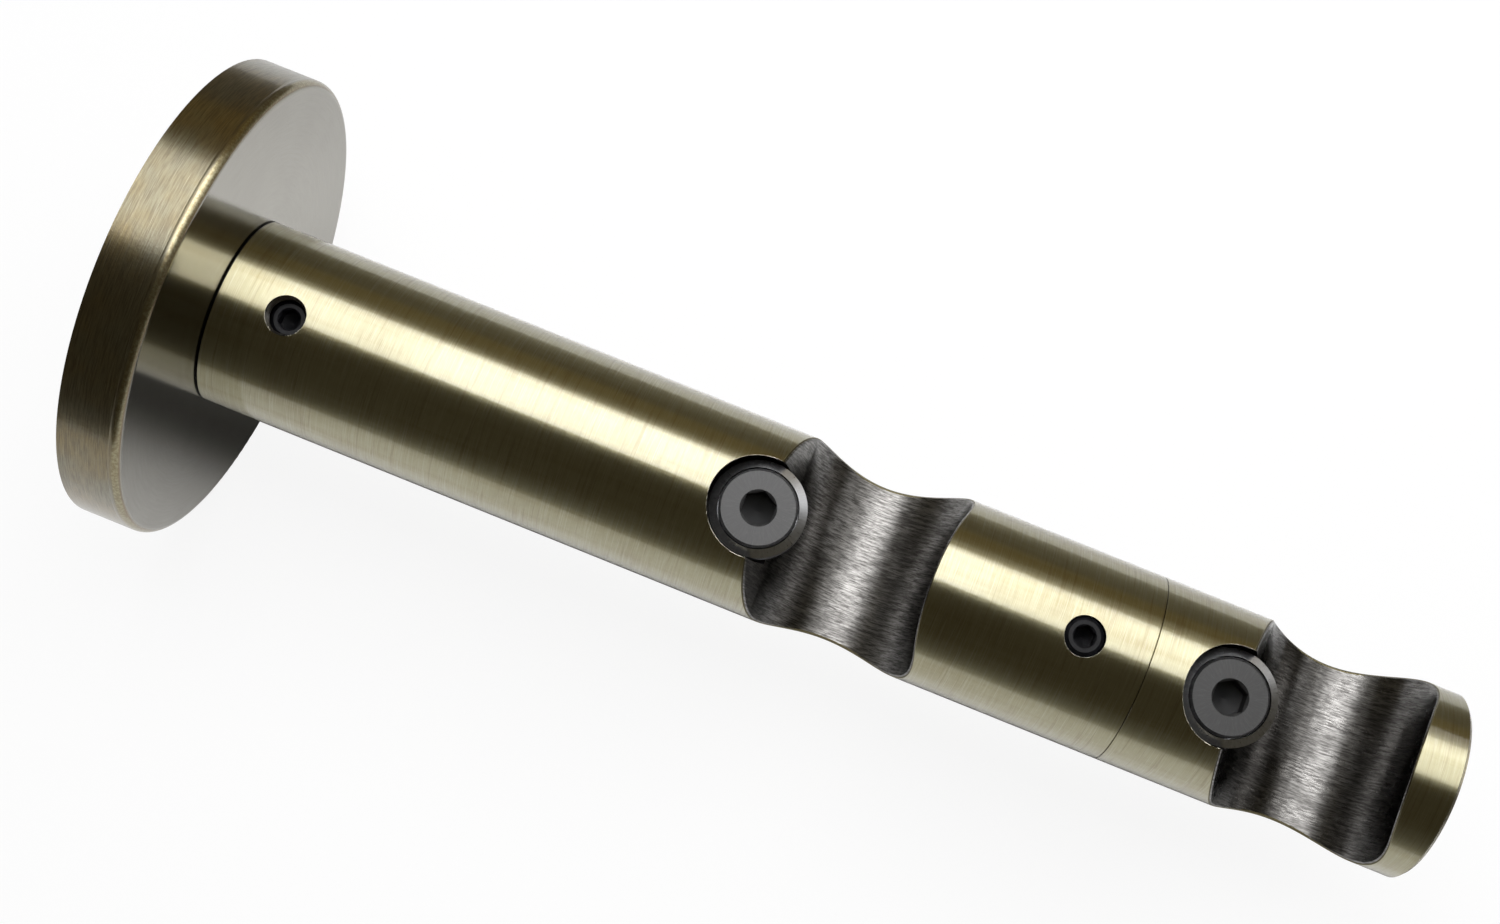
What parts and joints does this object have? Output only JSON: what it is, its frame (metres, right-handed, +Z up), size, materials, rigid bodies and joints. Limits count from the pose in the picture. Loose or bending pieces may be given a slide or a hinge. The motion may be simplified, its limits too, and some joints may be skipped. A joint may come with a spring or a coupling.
{
  "type": "two-run curtain pole bracket",
  "caption": "Wall bracket with a round disc and a straight round arm that carries two curtain poles in open troughs, each held by a clamp screw and ring.",
  "frame": {"origin": "centre of the wall disc's back, on the wall plane and on the arm's centre line", "axes": "+X out of the wall along the arm, +Z up, the way the troughs open, and +Y along the poles"},
  "size_m": [0.1725, 0.063, 0.063],
  "materials": {
    "zinc_steel": "plain zinc-plated steel",
    "antique_brass_disc": "antiqued brass, brushed round the rim, lacquered",
    "antique_brass_arm": "antiqued brass, brushed round the arm, lacquered",
    "antique_brass_end": "antiqued brass, brushed round the arm, lacquered",
    "black_steel": "blackened steel",
    "dark_ring": "satin dark grey turned steel",
    "grey_screw": "satin dark grey steel, turned face"
  },
  "bodies": {
    "root": {"wall_plate": "zinc_steel", "rear_spigot": "zinc_steel", "plate_screw": "zinc_steel", "wall_disc": "antique_brass_disc", "arm": "antique_brass_arm", "end_piece": "antique_brass_end", "rear_grub_screw": "black_steel", "front_grub_screw": "black_steel"},
    "rear_ring": {"rear_clamp_ring": "dark_ring"},
    "rear_screw": {"rear_clamp_screw": "grey_screw"},
    "front_ring": {"front_clamp_ring": "dark_ring"},
    "front_screw": {"front_clamp_screw": "grey_screw"}
  },
  "joints": [
    {"name": "rear_ring_lift", "type": "slide", "parent": "root", "child": "rear_ring", "axis": [0, 0, 1], "range_m": [0, 0.006]},
    {"name": "rear_screw_turn", "type": "hinge", "parent": "rear_ring", "child": "rear_screw", "pos_m": [0.0805, 0, 0.0042], "axis": [0, 0, 1], "range_deg": [0, 2160]},
    {"name": "front_ring_lift", "type": "slide", "parent": "root", "child": "front_ring", "axis": [0, 0, 1], "range_m": [0, 0.006]},
    {"name": "front_screw_turn", "type": "hinge", "parent": "front_ring", "child": "front_screw", "pos_m": [0.1432, 0, 0.0042], "axis": [0, 0, 1], "range_deg": [0, 2160]}
  ],
  "couplings": [
    {"joint": "rear_screw_turn", "follows": "rear_ring_lift", "rad_per_m": 6283.2},
    {"joint": "front_screw_turn", "follows": "front_ring_lift", "rad_per_m": 6283.2}
  ]
}
